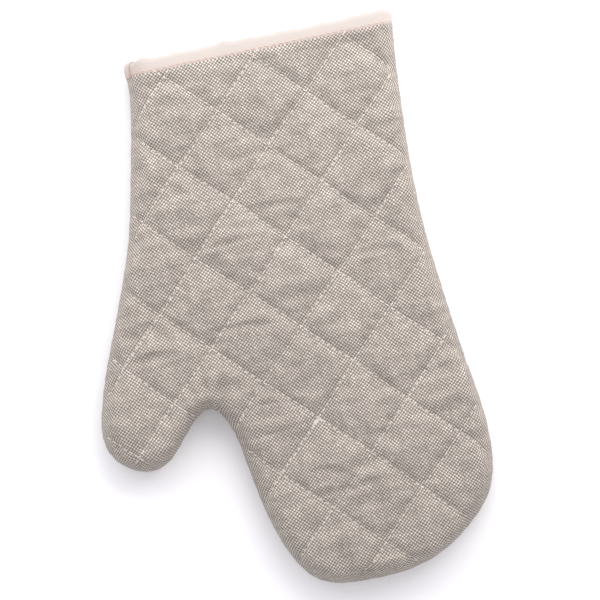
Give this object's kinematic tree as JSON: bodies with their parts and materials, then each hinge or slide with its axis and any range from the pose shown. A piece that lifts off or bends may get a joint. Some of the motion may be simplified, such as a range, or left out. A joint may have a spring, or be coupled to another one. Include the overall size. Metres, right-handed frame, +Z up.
{
  "type": "oven mitt",
  "caption": "Quilted oven mitt for one hand with a thumb, two padded panels, a side seam and a bound cuff.",
  "frame": {"origin": "middle of the lying mitt's outline, on the surface it lies on", "axes": "+X towards the little-finger side (the thumb is on -X), +Y from the fingertips towards the open cuff, +Z up from the surface, out of the palm side"},
  "size_m": [0.2188, 0.32, 0.026],
  "materials": {
    "outer_cloth": "plain weave of pale and dark yarns, matt",
    "wadding": "soft cotton wadding, matt",
    "lining": "plain cotton, matt",
    "binding_tape": "bias-cut cotton tape, matt",
    "thread": "spun thread, slight sheen"
  },
  "bodies": {
    "hand": {"palm_cloth_hand": "outer_cloth", "palm_cloth_thumb_fold": "outer_cloth", "palm_cloth_knuckle_fold": "outer_cloth", "palm_wadding_hand": "wadding", "palm_wadding_thumb_fold": "wadding", "palm_wadding_knuckle_fold": "wadding", "palm_lining_hand": "lining", "palm_lining_thumb_fold": "lining", "palm_lining_knuckle_fold": "lining", "palm_quilting_hand": "thread", "palm_quilting_thumb_fold": "thread", "palm_quilting_knuckle_fold": "thread", "back_cloth_hand": "outer_cloth", "back_wadding_hand": "wadding", "back_lining_hand": "lining", "back_quilting_hand": "thread", "side_seam_hand": "thread", "seam_allowance_hand": "outer_cloth", "cuff_binding": "binding_tape", "binding_stitch": "thread"},
    "thumb": {"palm_cloth_thumb": "outer_cloth", "palm_wadding_thumb": "wadding", "palm_lining_thumb": "lining", "palm_quilting_thumb": "thread", "back_cloth_thumb": "outer_cloth", "back_wadding_thumb": "wadding", "back_lining_thumb": "lining", "back_quilting_thumb": "thread", "side_seam_thumb": "thread", "seam_allowance_thumb": "outer_cloth"},
    "fingers": {"palm_cloth_fingers": "outer_cloth", "palm_wadding_fingers": "wadding", "palm_lining_fingers": "lining", "palm_quilting_fingers": "thread", "back_cloth_fingers": "outer_cloth", "back_wadding_fingers": "wadding", "back_lining_fingers": "lining", "back_quilting_fingers": "thread", "side_seam_fingers": "thread", "seam_allowance_fingers": "outer_cloth"}
  },
  "joints": [
    {"name": "finger_fold", "type": "hinge", "parent": "hand", "child": "fingers", "pos_m": [0.035, -0.078, 0.01], "axis": [-1, 0, 0], "range_deg": [0, 70], "stiffness_Nm_per_rad": 0.03, "deforming": ["palm_cloth_knuckle_fold", "palm_wadding_knuckle_fold", "palm_lining_knuckle_fold", "palm_quilting_knuckle_fold"]},
    {"name": "thumb_fold", "type": "hinge", "parent": "hand", "child": "thumb", "pos_m": [-0.0577, -0.0574, 0.01], "axis": [-0.7431, 0.6691, 0], "range_deg": [0, 60], "stiffness_Nm_per_rad": 0.03, "deforming": ["palm_cloth_thumb_fold", "palm_wadding_thumb_fold", "palm_lining_thumb_fold", "palm_quilting_thumb_fold"]}
  ]
}
